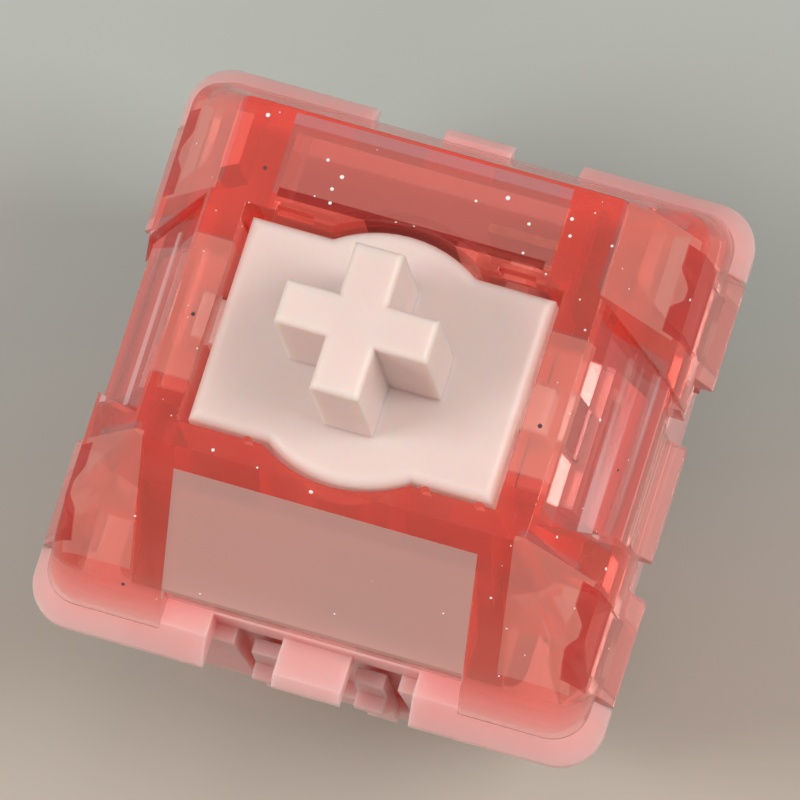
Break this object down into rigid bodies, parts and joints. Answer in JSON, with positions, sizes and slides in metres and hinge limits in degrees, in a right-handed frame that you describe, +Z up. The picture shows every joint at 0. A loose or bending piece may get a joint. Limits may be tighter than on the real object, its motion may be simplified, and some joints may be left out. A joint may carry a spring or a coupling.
{
  "type": "mechanical keyboard switch",
  "caption": "Linear mechanical keyboard switch with a cross stem, a see-through tinted upper housing and a pale lower housing with board pins.",
  "frame": {"origin": "on the stem axis, at the face of the lower housing that rests on the circuit board, where the centre post begins", "axes": "+Z up along the stem towards the keycap, +Y towards the two solder terminals, -Y towards the lamp window, +X to the right of that"},
  "size_m": [0.0156, 0.0156, 0.0185],
  "materials": {
    "tinted_polycarbonate": "polished, see-through red",
    "pale_nylon": "satin, slightly milky pink",
    "stem_acetal": "satin, cream pink",
    "spring_steel": "bright drawn wire",
    "contact_brass": "stamped sheet, bright"
  },
  "bodies": {
    "housing": {"top_housing": "tinted_polycarbonate", "bottom_housing": "pale_nylon", "fixed_terminal": "contact_brass", "moving_terminal": "contact_brass", "fixed_contact_point": "contact_brass", "return_spring": "spring_steel"},
    "stem": {"stem": "stem_acetal"},
    "leaf": {"contact_leaf": "contact_brass", "leaf_contact_point": "contact_brass"}
  },
  "joints": [
    {"name": "stem_press", "type": "slide", "parent": "housing", "child": "stem", "axis": [0, 0, -1], "range_m": [0, 0.004], "stiffness_N_per_m": 75, "springref_m": -0.004, "deforming": ["return_spring"]},
    {"name": "leaf_flex", "type": "hinge", "parent": "housing", "child": "leaf", "pos_m": [0.0035, 0.00508, 0.0061], "axis": [0, 0, 1], "range_deg": [0, 3.1]}
  ],
  "couplings": [
    {"joint": "leaf_flex", "follows": "stem_press", "rad_per_m": 13.526}
  ]
}
